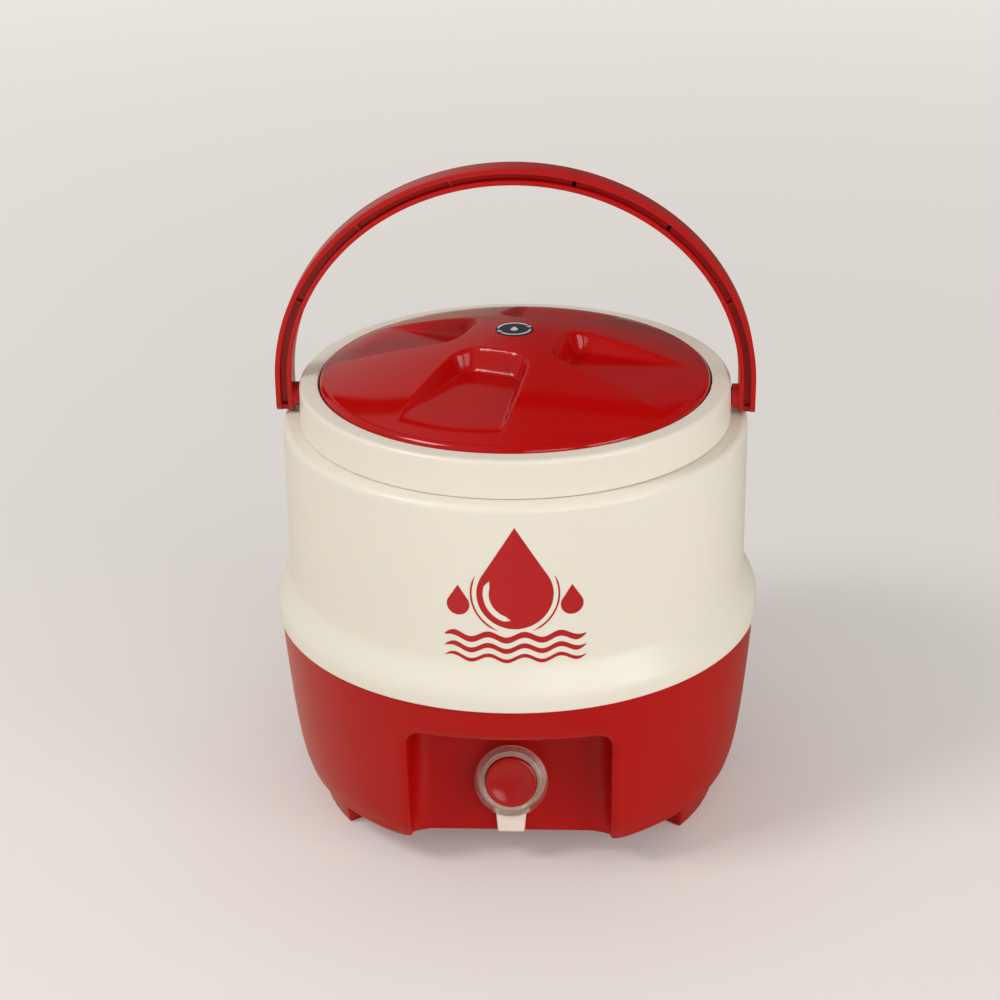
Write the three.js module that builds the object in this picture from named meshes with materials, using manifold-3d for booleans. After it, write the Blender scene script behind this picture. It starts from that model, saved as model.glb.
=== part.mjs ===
// Insulated water jug: a double-walled drum with a screwed lid, a bail handle and a push tap.
// Millimetres, +Z up, the tap faces -Y, the origin is under the middle of the jug on the floor.
import * as THREE from 'three';
import { mergeVertices } from 'three/addons/utils/BufferGeometryUtils.js';
import Module from 'manifold-3d';

const wasm = await Module();
wasm.setup();

// Gaps and cutting overrun
const seatGap = 0.3;
const overrun = 4;
const weld = 0.0001;

// Steps round the big shells, the inside of the lid and the tap, and in roundings and bevels
const shellSteps = 44;
const lidSteps = 36;
const tapSteps = 24;
const roundSteps = 3;
const innerRoundSteps = 2;
const bevelSteps = 4;
const footArcSteps = 5;

// Cream outer shell
const bodyRadius = 132.8;
const bodyDraft = 0.6;
const shoulderHeight = 236;
const shoulderRound = 4;
const shellWall = 3;
const flangeHeight = 118;
const flangeReach = 9;
const lipHeight = 6;
const flareHeight = 22;
const flareSteps = 3;

// Red base with its feet
const footHeight = 20;
const baseWall = 3;
const baseSetback = 1.5;
const baseTaper = 9.6;
const baseFullnessShare = 0.6;
const baseEdge = 3.5;
const baseSteps = 5;
const baseSpacingShare = 1.6;
const tongueHeight = 5;
const tongueWall = 3;
const footInset = 12.7;
const footLength = 26;
const footDraft = 3;
const footSpread = THREE.MathUtils.degToRad(33);
const footPitch = THREE.MathUtils.degToRad(72);
const footPlaces = [-2, -1, 1, 2];

// Recess in the base that the tap stands in
const tapTilt = THREE.MathUtils.degToRad(15);
const recessDepth = 27;
const recessWidth = 113;
const recessHeight = 66.3;
const recessFillet = 13;
const recessCorner = 6;
const recessFoam = 4;

// Neck collar
const shoulderWidth = 9.6;
const collarHeight = 21.7;
const collarDraft = 0.6;
const collarRound = 2.7;
const collarLand = 11.2;
const mouthRound = 1.2;
const ledgeDepth = 6.1;
const ledgeWidth = 5;
const collarFoot = 4;

// Inner liner
const linerWall = 2;
const linerDraft = 3;
const linerRound = 5;
const linerClearance = 1;
const linerLip = 2;
const nutClearance = 1;

// Lid
const lidGap = 0.8;
const lidStand = 0.8;
const lidRise = 27;
const lidCurveShare = 1.8;
const lidWall = 2.5;
const lidEdge = 1.2;
const domeShares = [0.3, 0.47, 0.62, 0.75, 0.87, 0.95];
const gasketHeight = 2.4;
const gasketInset = 1;
const plugGap = 2;
const plugWall = 2.2;
const plugDepth = 34;
const plugRound = 3;
const labelRadius = 12.5;
const labelThickness = 0.5;

// Four finger wells in the lid
const wellCount = 4;
const wellTurn = THREE.MathUtils.degToRad(-19.8);
const wellStart = 36;
const wellFloorDrop = 14.1;
const wellFall = 5.7;
const wellLength = 60.5;
const wellInnerWidth = 27.6;
const wellOuterWidth = 55;
const wellRim = 8;
const wellRimHeight = 14;
const wellCorner = 5.5;

// Bail handle
const pivotDrop = 12;
const foldGap = 2.4;
const gripThickness = 9.1;
const armThickness = 9.4;
const bossStandoff = 4;
const archRise = 9.3;
const armDrop = 9.3;
const handleDepth = 15;
const outerFlange = 2.8;
const innerFlange = 2.6;
const webThickness = 2.6;
const toeFloor = 4.3;
const toeWall = 2;
const archSteps = 26;
const ribCount = 3;
const ribStart = THREE.MathUtils.degToRad(15);
const ribPitch = THREE.MathUtils.degToRad(26);
const ribThickness = 2;
const ribSetback = 3.5;
const bossRadius = 7;
const pegRadius = 5;
const pegLength = 6;

// Tap, measured along its own axis from the floor of the recess
const tapRise = 30.8;
const tailRadius = 8;
const tailWall = 2;
const tailEnd = 2;
const cupRadius = 18.3;
const cupFront = 11;
const cupWall = 3.25;
const bulkhead = 5;
const bossTop = 7.2;
const glandBoss = 6.5;
const glandWall = 0.6;
const sealRadius = 4.7;
const stemRadius = 2.5;
const stemGap = 0.3;
const seatLedge = 2.5;
const ringRadius = 21;
const ringInner = 16.5;
const ringFace = 14.8;
const ringFall = 3;
const ringEdge = 1.5;
const ringChamfer = 0.7;
const buttonFace = 14.5;
const buttonEdge = 0.8;
const buttonRim = 1;
const buttonWall = 1.8;
const buttonSkirt = 3.9;
const dishDepth = 1.2;
const dishRun = 2;
const dishEdgeShare = 0.8;
const buttonTravel = 4;
const buttonStop = 0.4;
const spoutWidth = 18;
const spoutTipWidth = 15;
const spoutReach = 31.5;
const spoutBack = 1.5;
const spoutDepth = 8.5;
const spoutWall = 1.8;
const passageWidth = 10;
const tapGasketThickness = 2;
const tapGasketRadius = 11.5;
const nutRadius = 12.5;
const nutThickness = 6;
const nutSides = 6;
const stemCollar = 1.5;
const stemCollarRadius = 4.9;
const stemCollarPlace = 3;
const valveRadius = 7.5;
const valveThickness = 3;
const stemHead = 1.5;
const stemHeadRadius = 4.5;

// Return spring
const springRadius = 4.3;
const springWire = 0.45;
const springTurns = 5;
const springStepsPerTurn = 8;
const springSides = 5;

// Radii and heights that follow from the sizes above
const flangeRadius = bodyRadius + flangeReach;
const baseTopRadius = flangeRadius - baseSetback;
const baseBottomRadius = baseTopRadius - baseTaper;
const baseTop = flangeHeight - seatGap;
const baseFloor = footHeight + baseWall;
const flareTop = flangeHeight + lipHeight + flareHeight;
const tongueRadius = flangeRadius - shellWall - seatGap;
const collarRadius = bodyRadius - shoulderWidth;
const collarTop = shoulderHeight + collarHeight;
const mouthRadius = collarRadius - collarLand;
const threadRadius = mouthRadius - ledgeWidth;
const ledgeHeight = collarTop - ledgeDepth;
const linerRadius = threadRadius + linerClearance;
const linerOuter = linerRadius + linerWall;
const lipRadius = collarRadius - collarFoot - seatGap;
const lipBottom = shoulderHeight + seatGap;
const lidRadius = mouthRadius - lidGap;
const lidRim = collarTop + lidStand;
const coverBottom = ledgeHeight + seatGap + gasketHeight + seatGap;
const plugRadius = threadRadius - plugGap;
const plugBottom = lidRim - plugDepth;
const plugTop = lidSurface(plugRadius) - lidWall - seatGap;
const labelSeat = lidSurface(labelRadius + seatGap);
const pivotHeight = collarTop - pivotDrop;
const archCentre = pivotHeight + archRise;
const armInner = collarRadius + bossStandoff;
const armOuter = armInner + armThickness;
const archInner = collarRadius + foldGap - archRise;
const archOuter = archInner + gripThickness;
const armEnd = pivotHeight - armDrop;
const linerSet = baseWall + recessFoam + linerWall;
const gasketPlace = -linerSet - seatGap;
const nutPlace = gasketPlace - tapGasketThickness - seatGap;
const tailLength = -nutPlace + nutThickness + tailEnd;
const tailBore = tailRadius - tailWall;
const cupBore = cupRadius - cupWall;
const buttonRadius = cupBore - seatGap;
const buttonBottom = buttonFace - buttonSkirt;
const buttonUnder = buttonFace - dishDepth - buttonWall;
const channelFloor = buttonBottom - buttonTravel - buttonStop;
const stemBore = stemRadius + stemGap;
const tapHeight = footHeight + tapRise * Math.cos(tapTilt);
const nutLow = tapHeight - (tailLength - tailEnd) * Math.sin(tapTilt) - nutRadius * Math.cos(tapTilt);
const linerFloor = nutLow - nutClearance;
const linerUnder = linerFloor - linerWall;

// Frame of the recess: x across, y up its floor, z out of it along the tap
const recessFrame = new THREE.Matrix4()
  .makeRotationX(Math.PI / 2 - tapTilt)
  .setPosition(0, recessDepth - baseBottomRadius, footHeight);
const tapFrame = recessFrame.clone().multiply(new THREE.Matrix4().makeTranslation(0, tapRise, 0));

// A closed three.js geometry as a solid that can be joined and cut
function toSolid(geometry, matrix) {
  geometry.deleteAttribute('normal');
  geometry.deleteAttribute('uv');
  if (matrix) geometry.applyMatrix4(matrix);
  const merged = mergeVertices(geometry, weld);
  const corners = merged.index.array;
  const kept = [];
  for (let i = 0; i < corners.length; i += 3) {
    const [a, b, c] = corners.slice(i, i + 3);
    if (a !== b && b !== c && c !== a) kept.push(a, b, c);
  }
  return new wasm.Manifold(new wasm.Mesh({
    numProp: 3,
    vertProperties: Float32Array.from(merged.attributes.position.array),
    triVerts: Uint32Array.from(kept),
  }));
}

function toGeometry(solid) {
  const mesh = solid.getMesh();
  const geometry = new THREE.BufferGeometry();
  geometry.setAttribute('position', new THREE.BufferAttribute(mesh.vertProperties, mesh.numProp));
  geometry.setIndex(new THREE.BufferAttribute(mesh.triVerts, 1));
  geometry.computeVertexNormals();
  return geometry;
}

// Turned about Z from a closed outline of [radius, height] points
function turned(outline, steps) {
  const points = outline.map(([radius, height]) => new THREE.Vector2(radius, height));
  if (THREE.ShapeUtils.area(points) < 0) points.reverse();
  points.push(points[0].clone());
  return toSolid(new THREE.LatheGeometry(points, steps).rotateX(Math.PI / 2));
}

// A round rod along the local Z of a frame
function rod(radius, from, to, steps, matrix) {
  const geometry = new THREE.CylinderGeometry(radius, radius, to - from, steps);
  geometry.rotateX(Math.PI / 2).translate(0, 0, (from + to) / 2);
  return toSolid(geometry, matrix);
}

function block(size, centre, matrix) {
  return toSolid(new THREE.BoxGeometry(...size).translate(...centre), matrix);
}

function shapeOf(corners) {
  return new THREE.Shape(corners.map(([x, y]) => new THREE.Vector2(x, y)));
}

// The corners of a regular outline
function ringOf(sides, radius) {
  return Array.from({ length: sides }, (_, i) => {
    const angle = Math.PI * 2 * i / sides;
    return [radius * Math.cos(angle), radius * Math.sin(angle)];
  });
}

// A prism along local Z, from a height upwards
function prism(shape, from, depth, matrix, bevel = { bevelEnabled: false }) {
  const geometry = new THREE.ExtrudeGeometry(shape, { depth, steps: 1, ...bevel });
  return toSolid(geometry.translate(0, 0, from), matrix);
}

// The corners of a convex outline, moved out by a distance
function grown(corners, by) {
  return corners.map((corner, i) => {
    const before = corners[(i + corners.length - 1) % corners.length];
    const after = corners[(i + 1) % corners.length];
    const into = new THREE.Vector2(corner[0] - before[0], corner[1] - before[1]).normalize();
    const out = new THREE.Vector2(after[0] - corner[0], after[1] - corner[1]).normalize();
    const reach = by / (1 + into.dot(out));
    return [corner[0] + (into.y + out.y) * reach, corner[1] - (into.x + out.x) * reach];
  });
}

// A convex outline with its corners rounded
function roundedShape(corners, round) {
  const shape = new THREE.Shape();
  corners.forEach((corner, i) => {
    const before = new THREE.Vector2(...corners[(i + corners.length - 1) % corners.length]);
    const after = new THREE.Vector2(...corners[(i + 1) % corners.length]);
    const here = new THREE.Vector2(...corner);
    const start = here.clone().add(before.sub(here).setLength(round));
    const end = here.clone().add(after.sub(here).setLength(round));
    if (i === 0) shape.moveTo(start.x, start.y);
    else shape.lineTo(start.x, start.y);
    shape.quadraticCurveTo(here.x, here.y, end.x, end.y);
  });
  return shape;
}

// A dished cut: a flat floor, a rounded foot and walls that end in rounded corners
function dishedCut(corners, rim, height, depth, round, matrix) {
  const bevel = { bevelEnabled: true, bevelSize: rim, bevelThickness: height, bevelSegments: bevelSteps };
  const bowl = prism(shapeOf(corners), height, depth, matrix, bevel);
  const wide = roundedShape(grown(corners, rim), round);
  const plain = { bevelEnabled: false, curveSegments: bevelSteps };
  return bowl.intersect(prism(wide, -overrun, depth + height, matrix, plain));
}

// Points of a quarter round from one corner of an outline to the next
function quarter(radius, height, round, startAngle, steps = roundSteps) {
  const points = [];
  for (let i = 0; i <= steps; i += 1) {
    const angle = startAngle + (i / steps) * Math.PI / 2;
    points.push([radius + round * Math.cos(angle), height + round * Math.sin(angle)]);
  }
  return points;
}

function baseRadiusAt(height) {
  const share = Math.max(0, height - footHeight - baseEdge) / (baseTop - footHeight - baseEdge);
  return baseBottomRadius + baseTaper * share ** baseFullnessShare;
}

function lidSurface(radius) {
  return lidRim + lidRise * (1 - (radius / lidRadius) ** lidCurveShare);
}

// The hollow in front of the recess floor, made wider by the walls that stand behind it
function recessCut(wall) {
  const half = recessWidth / 2 - recessFillet;
  const low = -recessDepth - recessFillet;
  const high = recessHeight - recessFillet;
  const corners = [[-half, low], [half, low], [half, high], [-half, high]];
  const lowered = recessFrame.clone().multiply(new THREE.Matrix4().makeTranslation(0, 0, -wall));
  const fillet = recessFillet + wall;
  return dishedCut(corners, fillet, fillet, flangeRadius / 2, recessCorner + wall, lowered);
}

function outerShell() {
  const flare = (inset) => {
    const points = [];
    for (let i = 0; i <= flareSteps; i += 1) {
      const share = i / flareSteps;
      const height = flangeHeight + lipHeight + flareHeight * share;
      const eased = 0.5 + 0.5 * Math.cos(Math.PI * share);
      points.push([bodyRadius + bodyDraft + (flangeReach - bodyDraft) * eased - inset, height]);
    }
    return points;
  };
  const round = shoulderRound - shellWall > 0 ? shoulderRound - shellWall : 0;
  return turned([
    [flangeRadius - shellWall, flangeHeight],
    [flangeRadius, flangeHeight],
    ...flare(0),
    ...quarter(bodyRadius - shoulderRound, shoulderHeight - shoulderRound, shoulderRound, 0),
    [linerOuter + seatGap, shoulderHeight],
    [linerOuter + seatGap, shoulderHeight - shellWall],
    [bodyRadius - shellWall - round, shoulderHeight - shellWall],
    [bodyRadius - shellWall, shoulderHeight - shellWall - round],
    ...flare(shellWall).reverse(),
  ], shellSteps);
}

function baseProfile(inset, floor, top) {
  const low = footHeight + baseEdge;
  const points = [[0, floor], ...quarter(baseBottomRadius - baseEdge, low, baseEdge - inset, -Math.PI / 2)];
  for (let i = 1; i <= baseSteps; i += 1) {
    const height = low + (top - low) * (i / baseSteps) ** baseSpacingShare;
    points.push([baseRadiusAt(height) - inset, height]);
  }
  return points;
}

// One foot, or the hollow inside it, drawn in by a wall
function foot(place, wall) {
  const outer = baseBottomRadius - footInset - wall;
  const inner = baseBottomRadius - footInset - footLength + wall;
  const middle = place * footPitch - Math.PI / 2;
  const half = footSpread / 2 - wall / inner;
  const shape = new THREE.Shape();
  shape.absarc(0, 0, outer, middle - half, middle + half, false);
  shape.absarc(0, 0, inner, middle + half, middle - half, true);
  const bevel = {
    bevelEnabled: true,
    bevelSize: footDraft,
    bevelThickness: footHeight,
    bevelSegments: 1,
    curveSegments: footArcSteps,
  };
  return prism(shape, footHeight + wall, baseWall, undefined, bevel);
}

function baseShell() {
  const outside = [
    ...baseProfile(0, footHeight, baseTop),
    [tongueRadius, baseTop],
    [tongueRadius, flangeHeight + tongueHeight],
    [0, flangeHeight + tongueHeight],
  ];
  const inside = [
    ...baseProfile(baseWall, baseFloor, baseTop - overrun),
    [tongueRadius - tongueWall, baseTop],
    [tongueRadius - tongueWall, flangeHeight + tongueHeight + overrun],
    [0, flangeHeight + tongueHeight + overrun],
  ];
  let base = turned(outside, shellSteps);
  for (const place of footPlaces) base = base.add(foot(place, 0));
  base = base.subtract(recessCut(0));
  base = base.subtract(turned(inside, shellSteps).subtract(recessCut(baseWall)));
  for (const place of footPlaces) base = base.subtract(foot(place, baseWall));
  return base.subtract(rod(tailRadius + seatGap, -baseWall - overrun, overrun, tapSteps, tapFrame));
}

function linerProfile(outset, floor, top) {
  const bottom = linerRadius - linerDraft + outset;
  return [
    [0, floor],
    ...quarter(bottom - linerRound, floor + linerRound, linerRound, -Math.PI / 2, innerRoundSteps),
    [linerRadius + outset, top],
    [0, top],
  ];
}

function innerLiner() {
  const cup = turned([
    ...linerProfile(linerWall, linerUnder, lipBottom).slice(0, -1),
    [lipRadius, lipBottom],
    [lipRadius, lipBottom + linerLip],
    [0, lipBottom + linerLip],
  ], shellSteps).subtract(recessCut(linerSet - linerWall));
  const inside = turned(linerProfile(0, linerFloor, lipBottom + linerLip + overrun), shellSteps);
  const hole = rod(tailRadius + seatGap, -linerSet - overrun, overrun, tapSteps, tapFrame);
  return cup.subtract(inside.subtract(recessCut(linerSet))).subtract(hole);
}

function insulationFoam() {
  const top = shoulderHeight - shellWall - seatGap;
  const skin = baseWall + seatGap;
  const tongueInner = tongueRadius - tongueWall - seatGap;
  const low = baseFloor + seatGap;
  const outside = turned([
    [0, low],
    [baseBottomRadius - baseEdge - skin, low],
    [baseBottomRadius - skin, low + baseEdge],
    [Math.min(tongueInner, baseRadiusAt(baseTop) - skin), baseTop - overrun],
    [tongueInner, flangeHeight + tongueHeight],
    [bodyRadius + bodyDraft - shellWall - seatGap, flareTop],
    [bodyRadius - shellWall - seatGap, top - shoulderRound],
    [bodyRadius - shellWall - shoulderRound, top],
    [0, top],
  ], shellSteps);
  const around = turned(linerProfile(linerWall + seatGap, linerUnder - seatGap, top + overrun), shellSteps);
  const hole = rod(tailRadius + seatGap, -linerSet - overrun, overrun, tapSteps, tapFrame);
  return outside
    .subtract(recessCut(baseWall + seatGap))
    .subtract(around.subtract(recessCut(linerSet - linerWall - seatGap)))
    .subtract(hole);
}

function neckCollar() {
  const top = collarRadius - collarDraft;
  let collar = turned([
    [lipRadius + seatGap, lipBottom],
    [collarRadius, lipBottom],
    ...quarter(top - collarRound, collarTop - collarRound, collarRound, 0),
    [mouthRadius + mouthRound, collarTop],
    [mouthRadius, collarTop - mouthRound],
    [mouthRadius, ledgeHeight],
    [threadRadius, ledgeHeight],
    [threadRadius, lipBottom + linerLip + seatGap],
    [lipRadius + seatGap, lipBottom + linerLip + seatGap],
  ], shellSteps);
  const axle = new THREE.Matrix4().makeRotationY(Math.PI / 2).setPosition(0, 0, pivotHeight);
  const bottom = collarRadius - pegLength - seatGap;
  for (const side of [-1, 1]) {
    const ends = [side * bottom, side * (collarRadius + overrun)].sort((a, b) => a - b);
    collar = collar.subtract(rod(pegRadius + seatGap, ...ends, tapSteps, axle));
  }
  return collar;
}

// The arch of the handle in the XZ plane, between two offsets from its outer and inner lines
function archShape(outerInset, innerInset, bottom) {
  const outer = [];
  const inner = [];
  for (let i = 0; i <= archSteps; i += 1) {
    const angle = Math.PI * i / archSteps;
    const wide = [armOuter - outerInset, archOuter - outerInset];
    const narrow = [armInner + innerInset, archInner + innerInset];
    outer.push([wide[0] * Math.cos(angle), archCentre + wide[1] * Math.sin(angle)]);
    inner.push([narrow[0] * Math.cos(angle), archCentre + narrow[1] * Math.sin(angle)]);
  }
  return shapeOf([
    [armOuter - outerInset, bottom], ...outer, [outerInset - armOuter, bottom],
    [-armInner - innerInset, bottom], ...inner.reverse(), [armInner + innerInset, bottom],
  ]);
}

function handleRib(angle) {
  const tall = archOuter - archInner - outerFlange - innerFlange;
  const wide = armOuter - armInner - outerFlange - innerFlange;
  const share = Math.abs(Math.sin(angle));
  const radial = tall + (wide - tall) * share + innerFlange / 2;
  const middleX = (armOuter - outerFlange + armInner + innerFlange) / 2;
  const middleZ = (archOuter - outerFlange + archInner + innerFlange) / 2;
  const slope = Math.atan2(middleX * Math.sin(angle), middleZ * Math.cos(angle));
  const place = new THREE.Matrix4().makeRotationY(slope)
    .setPosition(middleX * Math.sin(angle), 0, archCentre + middleZ * Math.cos(angle));
  return block([ribThickness, handleDepth - ribSetback * 2, radial], [0, 0, 0], place);
}

// The arms' ends are round about the pivots, so that they turn clear of the shoulder
function endCut(axle) {
  const reach = armOuter + overrun;
  const below = block([reach * 2, handleDepth + overrun, armDrop * 2], [0, 0, pivotHeight - armDrop]);
  return below.subtract(rod(armDrop, -reach, reach, shellSteps, axle));
}

function handle() {
  const upright = new THREE.Matrix4().makeRotationX(Math.PI / 2);
  const axle = new THREE.Matrix4().makeRotationY(Math.PI / 2).setPosition(0, 0, pivotHeight);
  const channel = archShape(outerFlange, innerFlange, armEnd - overrun);
  let bail = prism(archShape(0, 0, armEnd), -handleDepth / 2, handleDepth, upright);
  bail = bail.subtract(prism(channel, webThickness / 2, handleDepth, upright));
  bail = bail.subtract(prism(channel, -webThickness / 2 - handleDepth, handleDepth, upright));
  for (let i = 0; i < ribCount; i += 1) {
    for (const side of [-1, 1]) bail = bail.add(handleRib(side * (ribStart + ribPitch * i)));
  }
  const floor = [armThickness - outerFlange, handleDepth - ribSetback * 2, toeWall];
  const floorPlace = (armOuter - outerFlange + armInner + innerFlange) / 2;
  const floorHeight = armEnd + toeFloor - toeWall / 2;
  for (const side of [-1, 1]) bail = bail.add(block(floor, [side * floorPlace, 0, floorHeight]));
  bail = bail.subtract(endCut(axle));
  for (const side of [-1, 1]) {
    const root = side * (armInner + innerFlange / 2);
    const boss = [side * (collarRadius + seatGap), root].sort((a, b) => a - b);
    const peg = [side * (collarRadius - pegLength), root].sort((a, b) => a - b);
    bail = bail.add(rod(bossRadius, ...boss, tapSteps, axle)).add(rod(pegRadius, ...peg, tapSteps, axle));
  }
  return bail;
}

function wellCut(index, wall) {
  const wide = (along) => wellInnerWidth / 2 + (wellOuterWidth - wellInnerWidth) / 2 * along / wellLength;
  const far = wellLength + wellRim + overrun;
  const corners = [[0, -wide(0)], [far, -wide(far)], [far, wide(far)], [0, wide(0)]];
  const fall = Math.atan2(wellFall, wellLength);
  const turn = wellTurn - Math.PI / 2 + index * Math.PI * 2 / wellCount;
  const place = new THREE.Matrix4().makeRotationZ(turn)
    .multiply(new THREE.Matrix4().makeTranslation(wellStart, 0, lidRim + lidRise - wellFloorDrop))
    .multiply(new THREE.Matrix4().makeRotationY(fall))
    .multiply(new THREE.Matrix4().makeTranslation(0, 0, -wall));
  return dishedCut(corners, wellRim + wall, wellRimHeight + wall, lidRise, wellCorner + wall, place);
}

function lidCover() {
  const dome = domeShares.map((share) => lidRadius * share);
  const outside = turned([
    [0, coverBottom],
    [lidRadius, coverBottom],
    [lidRadius, lidRim - lidEdge],
    [lidRadius - lidEdge / 2, lidRim],
    ...dome.toReversed().map((radius) => [radius, lidSurface(radius)]),
    [labelRadius + seatGap, labelSeat],
    [0, labelSeat],
  ], shellSteps);
  const cavity = plugRadius + seatGap;
  const under = dome.filter((radius) => radius < cavity);
  let inside = turned([
    [0, coverBottom - overrun],
    [cavity, coverBottom - overrun],
    [cavity, lidSurface(cavity) - lidWall],
    ...under.toReversed().map((radius) => [radius, lidSurface(radius) - lidWall]),
    [labelRadius, labelSeat - lidWall],
    [0, labelSeat - lidWall],
  ], lidSteps);
  let cover = outside;
  for (let i = 0; i < wellCount; i += 1) {
    inside = inside.subtract(wellCut(i, lidWall));
    cover = cover.subtract(wellCut(i, 0));
  }
  return cover.subtract(inside);
}

function lidPlug() {
  return turned([
    [0, plugBottom],
    ...quarter(plugRadius - plugRound, plugBottom + plugRound, plugRound, -Math.PI / 2, innerRoundSteps),
    [plugRadius, plugTop],
    [plugRadius - plugWall, plugTop],
    [plugRadius - plugWall, plugBottom + plugRound],
    [plugRadius - plugRound, plugBottom + plugWall],
    [0, plugBottom + plugWall],
  ], lidSteps);
}

function lidFoam() {
  const radius = plugRadius - plugWall - seatGap;
  const low = plugBottom + plugWall + seatGap;
  return turned([
    [0, low], [plugRadius - plugRound - seatGap, low], [radius, plugBottom + plugRound + seatGap],
    [radius, plugTop - seatGap], [0, plugTop - seatGap],
  ], lidSteps);
}

function lidGasket() {
  const low = ledgeHeight + seatGap;
  const [inner, outer] = [threadRadius + gasketInset, mouthRadius - gasketInset];
  return turned([
    [inner, low], [outer, low], [outer, low + gasketHeight], [inner, low + gasketHeight],
  ], lidSteps);
}

function lidLabel() {
  const low = labelSeat + seatGap;
  return turned([
    [0, low], [labelRadius, low], [labelRadius, low + labelThickness], [0, low + labelThickness],
  ], tapSteps);
}

function tapBody() {
  const glandTop = bossTop - glandWall;
  const glandFloor = bulkhead + glandWall;
  const cup = turned([
    [tailRadius, -tailLength], [tailRadius, seatGap], [cupRadius, seatGap], [cupRadius, cupFront],
    [cupBore, cupFront], [cupBore, channelFloor], [glandBoss, channelFloor], [glandBoss, bossTop],
    [stemBore, bossTop], [stemBore, glandTop], [sealRadius + seatGap, glandTop],
    [sealRadius + seatGap, glandFloor], [stemBore, glandFloor], [stemBore, bulkhead],
    [tailBore, bulkhead], [tailBore, seatLedge - tailLength],
    [tailBore - tailWall, seatLedge - tailLength], [tailBore - tailWall, -tailLength],
  ], tapSteps);
  const spoutTop = -cupRadius + cupWall / 2;
  const taper = (inset, top, bottom) => shapeOf([
    [inset - spoutTipWidth / 2, bottom], [spoutTipWidth / 2 - inset, bottom],
    [spoutWidth / 2 - inset, top], [inset - spoutWidth / 2, top],
  ]);
  const spout = prism(taper(0, spoutTop, -spoutReach), spoutBack, spoutDepth);
  const boreTop = -cupBore - cupWall / 2;
  const bore = prism(
    taper(spoutWall, boreTop, -spoutReach - overrun), spoutBack + spoutWall, spoutDepth - spoutWall * 2);
  const passageDepth = bulkhead - spoutBack;
  const passageLow = boreTop - passageDepth;
  const passage = block(
    [passageWidth, stemBore - passageLow, passageDepth],
    [0, (passageLow - stemBore) / 2, spoutBack + passageDepth / 2]);
  return cup.add(spout).subtract(bore).subtract(passage);
}

function tapRing() {
  const bore = cupBore + seatGap;
  return turned([
    [bore, cupFront + seatGap], [bore, ringFace - ringChamfer], [ringInner, ringFace],
    [ringRadius, ringFace - ringFall], [ringRadius, ringFace - ringFall - ringEdge],
    [cupRadius + seatGap, ringFace - ringFall - ringEdge], [cupRadius + seatGap, cupFront + seatGap],
  ], tapSteps);
}

function tapButton() {
  const dish = buttonRadius - buttonEdge - buttonRim;
  return turned([
    [0, buttonUnder], [buttonRadius - buttonWall, buttonUnder], [buttonRadius - buttonWall, buttonBottom],
    [buttonRadius, buttonBottom], [buttonRadius, buttonFace - buttonEdge],
    [buttonRadius - buttonEdge, buttonFace], [dish, buttonFace],
    [dish - dishRun, buttonFace - dishDepth * dishEdgeShare], [0, buttonFace - dishDepth],
  ], tapSteps);
}

function tapGasket() {
  const inner = tailRadius + seatGap;
  return turned([
    [inner, gasketPlace - tapGasketThickness], [tapGasketRadius, gasketPlace - tapGasketThickness],
    [tapGasketRadius, gasketPlace], [inner, gasketPlace],
  ], tapSteps);
}

function tapNut() {
  const back = nutPlace - nutThickness;
  const nut = prism(shapeOf(ringOf(nutSides, nutRadius)), back, nutThickness);
  return nut.subtract(rod(tailRadius + seatGap, back - overrun, nutPlace + overrun, tapSteps));
}

function stemSeal() {
  const low = bulkhead + glandWall + seatGap;
  const high = bossTop - glandWall - seatGap;
  return turned([
    [stemBore, low], [sealRadius, low], [sealRadius, high], [stemBore, high],
  ], tapSteps / 2);
}

function valveStem() {
  const sealFar = -tailLength - seatGap - valveThickness - seatGap;
  return turned([
    [0, sealFar - stemHead], [stemHeadRadius, sealFar - stemHead], [stemHeadRadius, sealFar],
    [stemRadius, sealFar], [stemRadius, -stemCollarPlace - stemCollar],
    [stemCollarRadius, -stemCollarPlace - stemCollar], [stemCollarRadius, -stemCollarPlace],
    [stemRadius, -stemCollarPlace], [stemRadius, buttonUnder - seatGap], [0, buttonUnder - seatGap],
  ], tapSteps / 2);
}

function valveSeal() {
  const high = -tailLength - seatGap;
  return turned([
    [stemBore, high - valveThickness], [valveRadius, high - valveThickness],
    [valveRadius, high], [stemBore, high],
  ], tapSteps);
}

// The helix that the spring wire follows, between the seat ledge and the collar on the stem
class SpringPath extends THREE.Curve {
  getPoint(share, target = new THREE.Vector3()) {
    const low = seatLedge - tailLength + springWire + seatGap;
    const high = -stemCollarPlace - stemCollar - springWire - seatGap;
    const angle = share * springTurns * Math.PI * 2;
    const [x, y] = [springRadius * Math.cos(angle), springRadius * Math.sin(angle)];
    return target.set(x, y, low + (high - low) * share);
  }
}

function returnSpring() {
  const steps = springTurns * springStepsPerTurn;
  return toSolid(new THREE.ExtrudeGeometry(shapeOf(ringOf(springSides, springWire)), {
    steps, bevelEnabled: false, extrudePath: new SpringPath(),
  }));
}

const finishes = {
  cream: { color: 0xebe0ce, roughness: 0.35 },
  red: { color: 0xae1a16, roughness: 0.22 },
  white: { color: 0xf0ebe2, roughness: 0.4 },
  foam: { color: 0xe8dcb0, roughness: 0.95 },
  rubber: { color: 0x4a4a4a, roughness: 0.8 },
  clear: { color: 0xe8d8d2, roughness: 0.15, transparent: true, opacity: 0.5 },
  label: { color: 0x20222c, roughness: 0.4 },
  steel: { color: 0xb8b8b8, roughness: 0.3, metalness: 1 },
};

function piece(name, solid, finish) {
  const mesh = new THREE.Mesh(toGeometry(solid), new THREE.MeshStandardMaterial(finishes[finish]));
  mesh.name = name;
  return mesh;
}

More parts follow.
